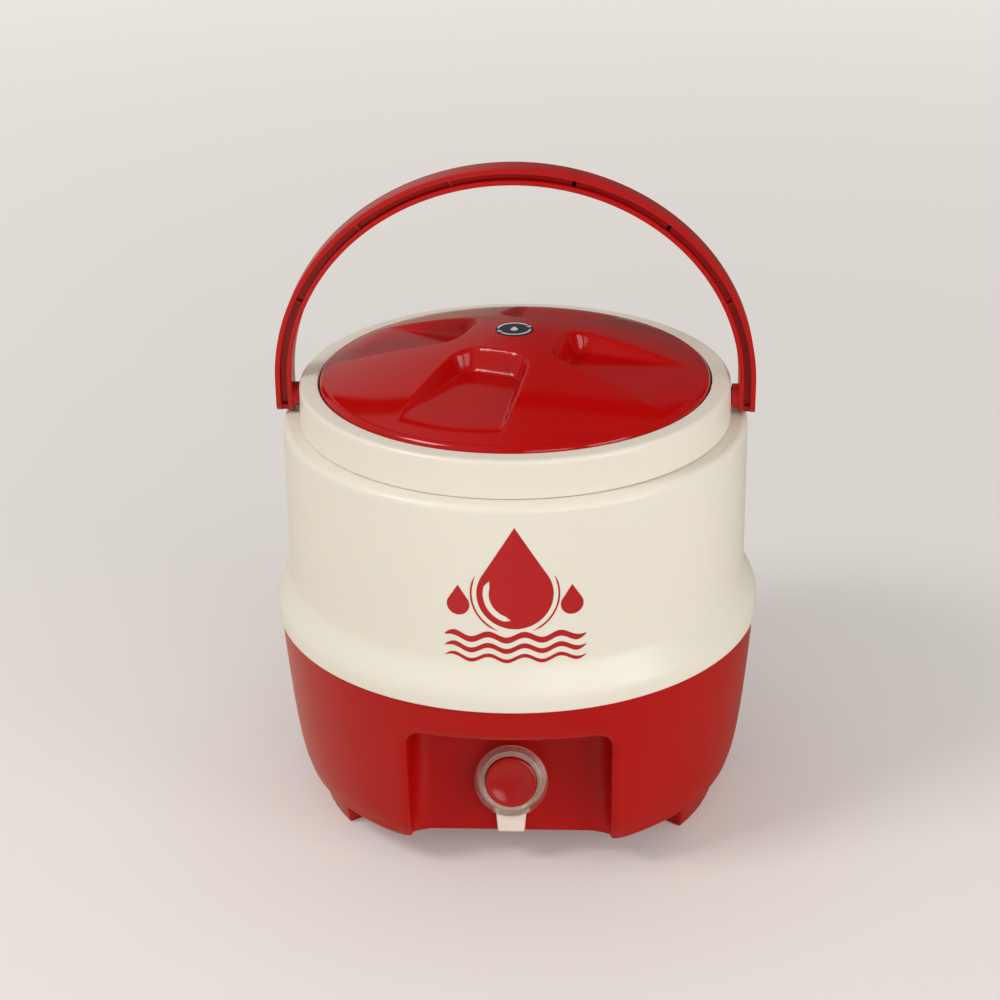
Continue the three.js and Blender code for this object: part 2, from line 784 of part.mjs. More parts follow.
function tapGroup() {
  const group = new THREE.Group();
  group.applyMatrix4(tapFrame);
  group.add(
    piece('tap_body', tapBody(), 'white'),
    piece('tap_ring', tapRing(), 'clear'),
    piece('tap_gasket', tapGasket(), 'rubber'),
    piece('tap_nut', tapNut(), 'white'),
    piece('stem_seal', stemSeal(), 'rubber'),
    piece('tap_button', tapButton(), 'red'),
    piece('valve_stem', valveStem(), 'white'),
    piece('valve_seal', valveSeal(), 'rubber'),
    piece('return_spring', returnSpring(), 'steel'),
  );
  return group;
}

const jug = new THREE.Group();
jug.add(
  piece('outer_shell', outerShell(), 'cream'),
  piece('base_shell', baseShell(), 'red'),
  piece('inner_liner', innerLiner(), 'white'),
  piece('insulation_foam', insulationFoam(), 'foam'),
  piece('neck_collar', neckCollar(), 'cream'),
  piece('handle', handle(), 'red'),
  piece('lid_cover', lidCover(), 'red'),
  piece('lid_plug', lidPlug(), 'white'),
  piece('lid_foam', lidFoam(), 'foam'),
  piece('lid_gasket', lidGasket(), 'rubber'),
  piece('lid_label', lidLabel(), 'label'),
  tapGroup(),
);
jug.updateMatrixWorld(true);

export default jug;
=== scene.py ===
import math
import bpy
from mathutils import Matrix, Vector


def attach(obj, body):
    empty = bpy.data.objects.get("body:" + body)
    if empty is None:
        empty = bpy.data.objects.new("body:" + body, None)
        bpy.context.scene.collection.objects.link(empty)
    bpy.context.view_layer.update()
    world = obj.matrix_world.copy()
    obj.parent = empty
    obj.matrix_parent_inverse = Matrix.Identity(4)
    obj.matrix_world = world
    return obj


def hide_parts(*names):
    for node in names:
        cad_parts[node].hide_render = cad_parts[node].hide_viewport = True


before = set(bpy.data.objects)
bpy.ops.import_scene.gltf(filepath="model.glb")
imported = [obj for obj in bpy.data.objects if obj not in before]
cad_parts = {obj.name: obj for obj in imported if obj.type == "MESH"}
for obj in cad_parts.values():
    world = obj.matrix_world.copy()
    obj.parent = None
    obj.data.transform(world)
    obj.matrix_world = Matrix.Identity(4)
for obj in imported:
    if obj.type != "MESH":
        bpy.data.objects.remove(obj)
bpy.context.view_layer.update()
mm = 0.001
print("frame loaded")


# small helpers for modelling

def pick(piece):
    bpy.ops.object.select_all(action='DESELECT')
    piece.select_set(True)
    bpy.context.view_layer.objects.active = piece


def named(name):  # the primitive that was just added gets its name
    piece = bpy.context.object
    piece.name = name
    piece.data.name = name
    return piece


def addCube(name):  # one unit wide, round the origin
    bpy.ops.object.select_all(action='DESELECT')
    bpy.ops.mesh.primitive_cube_add(size=1)
    return named(name)


def addPin(name, radius, length, middle, height, vertices=64):  # a cylinder along X
    bpy.ops.object.select_all(action='DESELECT')
    bpy.ops.mesh.primitive_cylinder_add(
        vertices=vertices, radius=radius * mm, depth=length * mm, rotation=(0, math.pi / 2, 0),
        location=(middle * mm, 0, height * mm))
    return named(name)


def settle(piece, place=None):  # puts the place and turn into the mesh
    if place is not None:
        piece.matrix_world = place @ piece.matrix_world
    pick(piece)
    bpy.ops.object.transform_apply(location=True, rotation=True, scale=True)
    return piece


def smooth(piece, angle=32):
    pick(piece)
    bpy.ops.object.shade_smooth_by_angle(angle=math.radians(angle))


def recalc(piece):  # doubles merged first, then faces turned outwards
    pick(piece)
    bpy.ops.object.mode_set(mode='EDIT')
    bpy.ops.mesh.select_all(action='SELECT')
    bpy.ops.mesh.remove_doubles(threshold=0.01 * mm)
    bpy.ops.mesh.delete_loose()
    bpy.ops.mesh.select_all(action='SELECT')
    bpy.ops.mesh.normals_make_consistent(inside=False)
    bpy.ops.object.mode_set(mode='OBJECT')


def finishModifier(piece, modifier):
    pick(piece)
    bpy.ops.object.modifier_apply(modifier=modifier.name)


def bevelEdges(piece, width, segments=3, angle=35):
    bevel = piece.modifiers.new('edge', 'BEVEL')
    bevel.width = width * mm
    bevel.segments = segments
    bevel.limit_method = 'ANGLE'
    bevel.angle_limit = math.radians(angle)
    finishModifier(piece, bevel)


def combine(piece, other, operation):
    cut = piece.modifiers.new('cut', 'BOOLEAN')
    cut.operation = operation
    cut.solver = 'EXACT'
    cut.object = other
    finishModifier(piece, cut)
    bpy.data.objects.remove(other)


def sliceAcross(piece, places):  # cuts at places along X, so that the piece can be bent
    pick(piece)
    bpy.ops.object.mode_set(mode='EDIT')
    for place in places:
        bpy.ops.mesh.select_all(action='SELECT')
        bpy.ops.mesh.bisect(plane_co=(place, 0, 0), plane_no=(1, 0, 0))
    bpy.ops.object.mode_set(mode='OBJECT')


holdingEdge = 0.6  # length of the short edges beside a rounding, which keep the flats flat


def softLine(corners, segments=5):
    # corners are (radius, height, rounding) of a closed outline
    points = []
    for i, (radius, height, rounding) in enumerate(corners):
        here = Vector((radius, height))
        if not rounding:
            points.append(here)
            continue
        before = (Vector(corners[i - 1][:2]) - here).normalized()
        after = (Vector(corners[(i + 1) % len(corners)][:2]) - here).normalized()
        half = before.angle(after) / 2
        centre = here + (before + after).normalized() * rounding / math.sin(half)
        reach = rounding / math.tan(half)
        start, end = here + before * reach - centre, here + after * reach - centre
        points.append(centre + start + before * min(rounding, 1) * holdingEdge)
        for k in range(segments + 1):
            points.append(centre + start.slerp(end, k / segments).normalized() * rounding)
        points.append(centre + end + after * min(rounding, 1) * holdingEdge)
    return points


def turn(name, points, steps=128):  # one outline spun round the jug's axis, closed unless it ends on the axis
    bpy.ops.object.select_all(action='DESELECT')
    bpy.ops.mesh.primitive_plane_add(size=mm, location=(points[0][0] * mm, 0, points[0][1] * mm))
    piece = named(name)
    bpy.ops.object.transform_apply(location=True, rotation=True, scale=True)
    bpy.ops.object.mode_set(mode='EDIT')
    bpy.ops.mesh.merge(type='CENTER')
    onAxis = abs(points[0][0]) < 0.001 and abs(points[-1][0]) < 0.001
    line = list(points) if onAxis else list(points) + [points[0]]
    for a, b in zip(line, line[1:]):
        step = ((b[0] - a[0]) * mm, 0, (b[1] - a[1]) * mm)
        bpy.ops.mesh.extrude_region_move(TRANSFORM_OT_translate={'value': step})
    bpy.ops.mesh.select_all(action='SELECT')
    bpy.ops.mesh.spin(steps=steps, angle=math.tau, center=(0, 0, 0), axis=(0, 0, 1))
    bpy.ops.object.mode_set(mode='OBJECT')
    recalc(piece)
    return piece


def moveVertices(piece, place):  # sculpts by a rule: place gives each vertex its new spot
    for vertex in piece.data.vertices:
        vertex.co = place(vertex.co)
    piece.data.update()


# shared finishes

def paint(red, green, blue):  # colour as seen on a screen, 0 to 255
    channel = lambda v: v / 255 / 12.92 if v <= 10 else ((v / 255 + 0.055) / 1.055) ** 2.4
    return (channel(red), channel(green), channel(blue), 1)


def addNode(tree, kind, inputs=None, **settings):
    node = tree.nodes.new(kind)
    for key, value in settings.items():
        setattr(node, key, value)
    for key, value in (inputs or {}).items():
        if isinstance(value, bpy.types.NodeSocket):
            tree.links.new(value, node.inputs[key])
        else:
            node.inputs[key].default_value = value
    return node


mouldedMarks = {'flowDetail': 4, 'patchScale': 22.0, 'patchDetail': 5, 'waveScale': 16.0, 'waveDetail': 1,
                'waveHeight': 0.002, 'grainScale': 1400.0, 'grainDetail': 2, 'grainHeight': 0.0001}


def makeMouldedGroup():
    # flow marks, uneven gloss, faint waves and fine grain of moulded plastic
    m = mouldedMarks
    group = bpy.data.node_groups.new('mouldedFinish', 'ShaderNodeTree')
    face = group.interface
    face.new_socket('Colour', in_out='INPUT', socket_type='NodeSocketColor')
    for label in ('Flow', 'Flow Scale', 'Gloss', 'Gloss Spread', 'Waves', 'Grain'):
        face.new_socket(label, in_out='INPUT', socket_type='NodeSocketFloat')
    face.new_socket('Colour', in_out='OUTPUT', socket_type='NodeSocketColor')
    face.new_socket('Roughness', in_out='OUTPUT', socket_type='NodeSocketFloat')
    face.new_socket('Normal', in_out='OUTPUT', socket_type='NodeSocketVector')
    given = addNode(group, 'NodeGroupInput').outputs
    result = addNode(group, 'NodeGroupOutput')
    where = addNode(group, 'ShaderNodeTexCoord').outputs['Object']
    flow = addNode(group, 'ShaderNodeTexNoise',
                   {'Vector': where, 'Scale': given['Flow Scale'], 'Detail': m['flowDetail']})
    centred = addNode(group, 'ShaderNodeMath', {0: flow.outputs[0], 1: 0.5}, operation='SUBTRACT')
    shift = addNode(group, 'ShaderNodeMath', {0: centred.outputs[0], 1: given['Flow'], 2: 1.0},
                    operation='MULTIPLY_ADD')
    tone = addNode(group, 'ShaderNodeHueSaturation', {'Value': shift.outputs[0], 'Color': given['Colour']})
    group.links.new(tone.outputs[0], result.inputs['Colour'])
    patches = addNode(group, 'ShaderNodeTexNoise',
                      {'Vector': where, 'Scale': m['patchScale'], 'Detail': m['patchDetail']})
    uneven = addNode(group, 'ShaderNodeMath', {0: patches.outputs[0], 1: 0.5}, operation='SUBTRACT')
    gloss = addNode(group, 'ShaderNodeMath', {0: uneven.outputs[0], 1: given['Gloss Spread'], 2: given['Gloss']},
                    operation='MULTIPLY_ADD')
    group.links.new(gloss.outputs[0], result.inputs['Roughness'])
    wave = addNode(group, 'ShaderNodeTexNoise',
                   {'Vector': where, 'Scale': m['waveScale'], 'Detail': m['waveDetail']})
    waveBump = addNode(group, 'ShaderNodeBump',
                       {'Height': wave.outputs[0], 'Strength': given['Waves'], 'Distance': m['waveHeight']})
    grain = addNode(group, 'ShaderNodeTexNoise',
                    {'Vector': where, 'Scale': m['grainScale'], 'Detail': m['grainDetail']})
    grainBump = addNode(group, 'ShaderNodeBump', {
        'Height': grain.outputs[0], 'Strength': given['Grain'], 'Distance': m['grainHeight'],
        'Normal': waveBump.outputs[0]})
    group.links.new(grainBump.outputs[0], result.inputs['Normal'])
    return group


mouldedFinish = makeMouldedGroup()


def mouldedMaterial(name, colour, flow=0.05, flowScale=9.0, gloss=0.3, spread=0.06, waves=0.2, grain=0.2,
                    **shaderValues):
    material = bpy.data.materials.new(name)
    material.use_nodes = True
    tree = material.node_tree
    shader = tree.nodes['Principled BSDF']
    finish = addNode(tree, 'ShaderNodeGroup', node_tree=mouldedFinish)
    for key, value in {'Colour': paint(*colour), 'Flow': flow, 'Flow Scale': flowScale, 'Gloss': gloss,
                       'Gloss Spread': spread, 'Waves': waves, 'Grain': grain}.items():
        finish.inputs[key].default_value = value
    tree.links.new(finish.outputs['Colour'], shader.inputs['Base Color'])
    tree.links.new(finish.outputs['Roughness'], shader.inputs['Roughness'])
    tree.links.new(finish.outputs['Normal'], shader.inputs['Normal'])
    for key, value in shaderValues.items():
        shader.inputs[key.replace('_', ' ')].default_value = value
    return material


def wear(piece, material):
    piece.data.materials.clear()
    piece.data.materials.append(material)


creamPlastic = mouldedMaterial('creamPlastic', (243, 237, 224), flow=0.04, gloss=0.34, waves=0.10, grain=0.12,
                               IOR=1.5, Subsurface_Weight=0.08, Subsurface_Scale=0.004)
creamNeck = mouldedMaterial('creamNeck', (242, 235, 222), flow=0.03, gloss=0.3, waves=0.08, grain=0.1,
                            IOR=1.5, Subsurface_Weight=0.08, Subsurface_Scale=0.004)
baseRed = mouldedMaterial('baseRed', (181, 6, 4), flow=0.09, flowScale=6.0, gloss=0.3, waves=0.12, grain=0.12,
                          Specular_IOR_Level=0.25)
lidRed = mouldedMaterial('lidRed', (183, 6, 5), flow=0.07, flowScale=7.0, gloss=0.12, waves=0.08, grain=0.04,
                         Specular_IOR_Level=0.4)
handleRed = mouldedMaterial('handleRed', (186, 8, 7), flow=0.08, flowScale=14.0, gloss=0.22, waves=0.1,
                            grain=0.08, Specular_IOR_Level=0.45)
buttonRed = mouldedMaterial('buttonRed', (176, 10, 8), flow=0.05, flowScale=40.0, gloss=0.2, waves=0.1,
                            grain=0.1, Specular_IOR_Level=0.5)
spoutWhite = mouldedMaterial('spoutWhite', (240, 226, 214), flow=0.04, flowScale=40.0, gloss=0.36, grain=0.12,
                             Subsurface_Weight=0.1, Subsurface_Scale=0.003)
linerWhite = mouldedMaterial('linerWhite', (238, 236, 230), flow=0.03, gloss=0.35, spread=0.1, waves=0.1,
                             grain=0.1)
foamYellow = mouldedMaterial('foamYellow', (226, 208, 160), flow=0.2, flowScale=60.0, gloss=0.9, spread=0.1,
                             waves=0.3, grain=1.0)
sealRubber = mouldedMaterial('sealRubber', (70, 70, 72), flow=0.1, flowScale=50.0, gloss=0.7, spread=0.15,
                             grain=0.5)
springSteel = mouldedMaterial('springSteel', (190, 190, 192), flow=0.1, flowScale=200.0, gloss=0.28, spread=0.2,
                              waves=0.0, grain=0.3, Metallic=1.0)
labelNavy = mouldedMaterial('labelNavy', (34, 36, 52), flow=0.1, flowScale=60.0, gloss=0.3, spread=0.1,
                            waves=0.1, grain=0.2)
labelInk = mouldedMaterial('labelInk', (216, 218, 222), flow=0.05, flowScale=80.0, gloss=0.35, grain=0.2)
printRed = mouldedMaterial('printRed', (188, 16, 22), flow=0.06, flowScale=30.0, gloss=0.32, waves=0.1, grain=0.2)
clearPlastic = mouldedMaterial('clearPlastic', (250, 242, 238), flow=0.03, flowScale=40.0, gloss=0.16,
                               spread=0.03, waves=0.1, grain=0.05, IOR=1.38, Transmission_Weight=0.97)
print("finishes made")


# cream drum

drum = {'flangeRadius': 141.8, 'flangeBottom': 118, 'lipTop': 124, 'flareTop': 146, 'flareSteps': 12,
        'bodyRadius': 132.8, 'draft': 0.6, 'top': 236, 'edgeRound': 0.9, 'shoulderRound': 4, 'insideRound': 1,
        'wall': 3, 'hole': 110.3, 'straightRings': (160, 180, 200, 220), 'steps': 160}


def drumRadius(height):  # outer radius of the drum at a height
    share = (height - drum['lipTop']) / (drum['flareTop'] - drum['lipTop'])
    if share <= 0:
        return drum['flangeRadius']
    if share < 1:
        low = drum['bodyRadius'] + drum['draft']
        return low + (drum['flangeRadius'] - low) * (0.5 + 0.5 * math.cos(math.pi * share))
    rest = (height - drum['flareTop']) / (drum['top'] - drum['flareTop'])
    return drum['bodyRadius'] + drum['draft'] * (1 - rest)


def makeDrum():
    d = drum
    rise = d['flareTop'] - d['lipTop']
    flare = [d['lipTop'] + rise * i / d['flareSteps'] for i in range(d['flareSteps'] + 1)]
    corners = [(d['flangeRadius'] - d['wall'], d['flangeBottom'], 0),
               (d['flangeRadius'], d['flangeBottom'], d['edgeRound'])]
    corners += [(drumRadius(height), height, 0) for height in (*flare, *d['straightRings'])]
    corners += [(d['bodyRadius'], d['top'], d['shoulderRound']), (d['hole'], d['top'], 0),
                (d['hole'], d['top'] - d['wall'], 0),
                (d['bodyRadius'] - d['wall'], d['top'] - d['wall'], d['insideRound'])]
    corners += [(drumRadius(height) - d['wall'], height, 0) for height in reversed(flare)]
    piece = turn('cream_drum', softLine(corners, 10), d['steps'])
    smooth(piece)
    wear(piece, creamPlastic)
    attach(piece, "jug")
    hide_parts("outer_shell")


makeDrum()
print("drum made")


# neck ring that holds the lid and the handle

neck = {'radius': 123.2, 'draft': 0.6, 'bottom': 236.3, 'bottomRound': 0.5, 'top': 257.7, 'topRound': 2.4,
        'mouth': 112, 'mouthRound': 0.8, 'bore': 107, 'boreRound': 0.5, 'ledge': 251.6, 'lip': 119.2,
        'lipTop': 238.6, 'pivot': 245.7, 'pegHole': 5.3, 'pegReach': 6.3, 'cutLength': 12, 'steps': 160}


def makeNeck():
    n = neck
    piece = turn('neck_ring', softLine([  # a soft outer edge and a crisp lip round the lid
        (n['lip'], n['bottom'], 0), (n['radius'], n['bottom'], n['bottomRound']),
        (n['radius'] - n['draft'], n['top'], n['topRound']), (n['mouth'], n['top'], n['mouthRound']),
        (n['mouth'], n['ledge'], 0), (n['bore'], n['ledge'], n['boreRound']),
        (n['bore'], n['lipTop'], 0), (n['lip'], n['lipTop'], 0)], 8), n['steps'])
    for side in (-1, 1):
        middle = side * (n['radius'] - n['pegReach'] + n['cutLength'] / 2)
        hole = addPin('peg_hole', n['pegHole'], n['cutLength'], middle, n['pivot'], 48)
        combine(piece, hole, 'DIFFERENCE')
    smooth(piece)
    wear(piece, creamNeck)
    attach(piece, "jug")
    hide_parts("neck_collar")


makeNeck()
print("neck ring made")


# lid with four finger wells

lid = {'radius': 111.2, 'rim': 259.2, 'rise': 26.55, 'curve': 1.6, 'bottom': 254.6, 'chamfer': 0.5, 'wall': 2.5,
       'plug': 105.3, 'round': 4, 'roundTurn': 66.4, 'roundReach': 2.6, 'roundSteps': 8, 'labelRadius': 10.9,
       'labelSeat': 284.98, 'seatEdge': 0.3, 'seatRise': 0.2, 'steps': 480, 'rings': 118, 'firstRing': 3,
       'hollowRings': 60}
well = {'count': 4, 'turn': -19.4, 'start': 33.5, 'drop': 15.6, 'fall': 5.7, 'length': 60.5, 'inner': 31.5,
        'outer': 58.5, 'corner': 5, 'slope': 2.15, 'foot': 1.3, 'blend': 2, 'behind': 40}
noWell = 1000  # higher than any spot of the lid


def softMin(a, b, width):
    h = max(0, min(1, 0.5 + 0.5 * (b - a) / width))
    return b + (a - b) * h - width * h * (1 - h)


def wellHeight(x, y, index, inset):
    w = well
    angle = math.radians(w['turn'] - 90 + 360 / w['count'] * index)
    along = x * math.cos(angle) + y * math.sin(angle) - w['start']
    across = abs(-x * math.sin(angle) + y * math.cos(angle))
    if along < -w['behind']:
        return noWell
    widen = (w['outer'] - w['inner']) / 2 / w['length']
    side = (across - w['inner'] / 2 - widen * along) * math.cos(math.atan(widen)) - inset
    end = -along - inset
    c = w['corner']
    away = math.hypot(max(side + c, 0), max(end + c, 0)) + min(max(side, end) + c, 0) - c
    floor = lid['rim'] + lid['rise'] - w['drop'] - w['fall'] / w['length'] * along - inset
    if away <= 0:
        return floor
    return floor + w['slope'] * (math.hypot(away, w['foot']) - w['foot'])


def lidHeight(x, y, inset=0):
    radius = math.hypot(x, y)
    height = lid['rim'] + lid['rise'] * (1 - (radius / lid['radius']) ** lid['curve']) - inset
    for index in range(well['count']):
        height = softMin(height, wellHeight(x, y, index, inset), well['blend'])
    return height


def makeLid():
    # the dome and the hollow below it are turned flat, at two marker heights, and then raised to their shapes
    d = lid
    domeMark, hollowMark = 290, 280
    edge, seat, seatTop = d['radius'], d['labelRadius'], d['labelSeat']
    top = [(edge * (1 - i / d['rings']), domeMark) for i in range(d['firstRing'], d['rings'])
           if edge * (1 - i / d['rings']) > seat + 2 * d['seatEdge']]
    turns = [math.radians(d['roundTurn']) * i / d['roundSteps'] for i in range(d['roundSteps'] + 1)]
    rim = [(edge - d['round'] * (1 - math.cos(a)), d['rim'] - d['roundReach'] + d['round'] * math.sin(a))
           for a in turns]
    under = [(d['plug'] * (1 - i / d['hollowRings']), hollowMark) for i in range(1, d['hollowRings'])
             if d['plug'] * (1 - i / d['hollowRings']) > seat]
    outline = [(0, seatTop - d['wall']), (seat, seatTop - d['wall'])] + under[::-1]
    outline += [(d['plug'], hollowMark), (d['plug'], d['bottom']), (edge - d['chamfer'], d['bottom']),
                (edge, d['bottom'] + d['chamfer'])]
    outline += rim + top
    outline += [(seat + d['seatEdge'], domeMark), (seat, seatTop + d['seatRise']),
                (seat - d['seatEdge'], seatTop), (0, seatTop)]
    piece = turn('lid_dome', outline, d['steps'])

    def shape(point):
        x, y, z = point.x / mm, point.y / mm, point.z / mm
        for mark, inset in ((domeMark, 0), (hollowMark, d['wall'])):
            if abs(z - mark) < 0.5:
                return Vector((point.x, point.y, lidHeight(x, y, inset) * mm))
        return point

    moveVertices(piece, shape)
    smooth(piece, 50)
    wear(piece, lidRed)
    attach(piece, "lid")
    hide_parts("lid_cover")


makeLid()
print("lid made")


# red base with the tap's recess and four feet

base = {'bottomRadius': 128.4, 'taper': 11.9, 'fullness': 0.52, 'low': 18.6, 'edge': 4.6, 'edgeShare': 0.95,
        'flat': 60, 'top': 117.7, 'wall': 3, 'tongueOuter': 138.5, 'tongueInner': 135.5, 'tongueTop': 123,
        'rings': 22, 'ringSpread': 1.4, 'steps': 192, 'hollowTop': 130, 'hollowSteps': 96}
recess = {'tilt': 15, 'back': 102.2, 'start': 20, 'width': 113, 'height': 66.3, 'fillet': 13, 'crease': 1.5,
          'corner': 7, 'rim': 5.2, 'filletSteps': 7, 'rimSteps': 8, 'rimTurn': 78, 'below': 44, 'beyond': 80,
          'outlineSteps': (26, 12, 30, 20), 'lowest': -14, 'guess': 30, 'rounds': 40, 'clear': 12, 'gap': 0.5}
foot = {'places': (-2, -1, 1, 2), 'pitch': 72, 'spread': 35, 'outer': 119.4, 'length': 27, 'draft': 5,
        'slices': 8, 'sunk': 1.5, 'edge': 1.2}
tilt = math.radians(recess['tilt'])
recessFrame = Matrix.Translation((0, -recess['back'] * mm, recess['start'] * mm)) \
    @ Matrix.Rotation(math.pi / 2 - tilt, 4, 'X')


def baseRadius(height):
    share = (height - base['low'] - base['edge']) / (base['top'] - base['low'] - base['edge'])
    return base['bottomRadius'] + base['taper'] * max(0, share) ** base['fullness']


def bowlRadius(height):  # the same, drawn in along the rounding of the lower edge
    sink = min(base['low'] + base['edge'] - height, base['edgeShare'] * base['edge'])
    if sink <= 0:
        return baseRadius(height)
    return base['bottomRadius'] - base['edge'] + math.sqrt(base['edge'] ** 2 - sink ** 2)


def surfaceReach(u, v):
    # how far out along the tap's axis the bowl's surface lies above a spot of the recess floor
    v = max(v, recess['lowest'])
    out = recess['guess']
    for _ in range(recess['rounds']):
        height = recess['start'] + v * math.cos(tilt) + out * math.sin(tilt)
        radius = bowlRadius(height)
        y = -math.sqrt(max(radius * radius - u * u, 1))
        out = (v * math.sin(tilt) - recess['back'] - y) / math.cos(tilt)
    return out


def recessOutline(grow, corner):  # up the left side, across the top and down the right, then back below
    r = recess
    half = r['width'] / 2 - r['fillet'] + grow
    high = r['height'] - r['fillet'] + grow
    low = -r['below']
    c = corner
    wallSteps, bendSteps, topSteps, lowSteps = r['outlineSteps']
    bends = [math.pi / 2 * i / bendSteps for i in range(1, bendSteps)]
    points = [(-half, low + (high - c - low) * i / wallSteps) for i in range(wallSteps + 1)]
    points += [(-half + c - c * math.cos(a), high - c + c * math.sin(a)) for a in bends]
    points += [(-half + c + (2 * half - 2 * c) * i / topSteps, high) for i in range(topSteps + 1)]
    points += [(half - c + c * math.sin(a), high - c + c * math.cos(a)) for a in bends]
    points += [(half, high - c + (low - high + c) * i / wallSteps) for i in range(wallSteps + 1)]
    points += [(half - 2 * half * i / lowSteps, low) for i in range(1, lowSteps)]
    return points


def makeRecessCutter(wall=0):
    # loops from the floor out: fillet, straight wall, a rounding that meets the bowl, then clear of it
    r = recess
    fillet, steps = r['fillet'] + wall, r['filletSteps']
    grow = 0
    loops = []
    for i in range(steps + 1):
        a = math.pi / 2 * i / steps
        corner = r['crease'] + (r['corner'] + wall - r['crease']) * i / steps
        loops.append([(u, v, fillet - fillet * math.cos(a) - wall)
                      for u, v in recessOutline(fillet * math.sin(a), corner)])
    if not wall:
        for i in range(r['rimSteps'] + 1):
            a = math.radians(r['rimTurn']) * i / r['rimSteps']
            grow = r['rim'] * (1 - math.cos(a))
            sink = r['rim'] * (1 - math.sin(a))
            loops.append([(u, v, surfaceReach(u, v) - sink)
                          for u, v in recessOutline(fillet + grow, r['corner'] + grow)])
        grow += r['clear'] * math.sin(a)
        rise = r['clear'] * math.cos(a) - sink
        loops.append([(u, v, surfaceReach(u, v) + rise)
                      for u, v in recessOutline(fillet + grow, r['corner'] + grow)])
        # each loop of the fillet stays below the first loop of the wall
        for loop in loops[:steps + 1]:
            for k, (u, v, w) in enumerate(loop):
                room = loops[steps + 1][k][2] - r['gap']
                loop[k] = (u, v, w * min(1, room / fillet))
    loops.append([(u, v, r['beyond']) for u, v in recessOutline(fillet + grow, r['corner'] + wall + grow)])
    count = len(loops[0])
    bpy.ops.object.select_all(action='DESELECT')
    bpy.ops.mesh.primitive_circle_add(vertices=count, radius=1, fill_type='NGON')
    piece = named('recess_cutter')
    for _ in loops[1:]:
        bpy.ops.object.mode_set(mode='EDIT')
        bpy.ops.mesh.extrude_region_move(TRANSFORM_OT_translate={'value': (0, 0, 1)})
        bpy.ops.object.mode_set(mode='OBJECT')
    order = sorted(piece.data.vertices, key=lambda p: (round(p.co.z), math.atan2(-p.co.y, -p.co.x)))
    for k, vertex in enumerate(order):
        vertex.co = Vector(loops[k // count][k % count]) * mm
    piece.data.update()
    settle(piece, recessFrame)
    recalc(piece)
    return piece


def makeFoot(place):
    f = foot
    outer = f['outer']
    inner = outer - f['length']
    middle = math.radians(place * f['pitch'] - 90)
    half = math.radians(f['spread']) / 2
    piece = addCube('foot')
    sliceAcross(piece, [cut / f['slices'] - 0.5 for cut in range(1, f['slices'])])

    def shape(point):
        spread = f['draft'] if point.z > 0 else 0
        radius = outer + spread if point.y > 0 else inner - spread
        angle = middle + point.x * 2 * (half + spread / radius)
        height = base['low'] + f['sunk'] if point.z > 0 else 0
        return Vector((radius * math.cos(angle), radius * math.sin(angle), height)) * mm

    moveVertices(piece, shape)
    recalc(piece)
    bevelEdges(piece, f['edge'])
    return piece


def makeBase():
    b = base
    w, start = b['wall'], b['low'] + b['edge']
    heights = [start + (b['top'] - b['low'] - b['edge']) * (i / b['rings']) ** b['ringSpread']
               for i in range(1, b['rings'] + 1)]
    bowl = [(0, b['low'], 0), (b['flat'], b['low'], 0), (b['bottomRadius'], b['low'], b['edge'])]
    bowl += [(baseRadius(z), z, 0) for z in heights]
    bowl += [(b['tongueOuter'], b['top'], 0), (b['tongueOuter'], b['tongueTop'], 0), (0, b['tongueTop'], 0)]
    piece = turn('red_base', softLine(bowl), b['steps'])
    combine(piece, makeRecessCutter(), 'DIFFERENCE')
    hollow = [(0, b['low'] + w, 0), (b['bottomRadius'] - w - 1, b['low'] + w, 0)]
    hollow += [(baseRadius(z) - w, z, 0) for z in heights[3:-3:3]]
    hollow += [(b['tongueInner'], b['top'], 0), (b['tongueInner'], b['hollowTop'], 0), (0, b['hollowTop'], 0)]
    inside = turn('base_hollow', softLine(hollow), b['hollowSteps'])
    combine(inside, makeRecessCutter(w), 'DIFFERENCE')
    combine(piece, inside, 'DIFFERENCE')
    for place in foot['places']:
        combine(piece, makeFoot(place), 'UNION')
    smooth(piece, 28)
    wear(piece, baseRed)
    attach(piece, "jug")
    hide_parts("base_shell")


makeBase()
print("base made")


# bail handle, an H section bent into an arch

bail = {'pivot': 245.7, 'armOuter': 136.6, 'armInner': 127.2, 'outerHalf': 125.4, 'innerHalf': 116.3,
        'centre': 255, 'end': 236.4, 'depth': 15, 'outerFlange': 2.8, 'innerFlange': 2.6, 'web': 2.6,
        'ribs': (15, 41, 67), 'rib': 2, 'ribDepth': 8, 'ribHeight': 5.4, 'ribRound': 0.4, 'floor': 239.7,
        'floorWall': 2, 'steps': 120, 'rounding': 0.9, 'boss': 7, 'peg': 5, 'neckGap': 0.3, 'pegReach': 6,
        'pegSunk': 1.2, 'pegRound': 0.5, 'cutSize': (300, 30), 'cutLength': 320}


def addBlock(name, size, place, turned=0):  # a block of a size, turned about Y
    piece = addCube(name)
    moveVertices(piece, lambda p: Vector((p.x * size[0], p.y * size[1], p.z * size[2])) * mm)
    settle(piece, Matrix.Translation(Vector(place) * mm) @ Matrix.Rotation(turned, 4, 'Y'))
    return piece


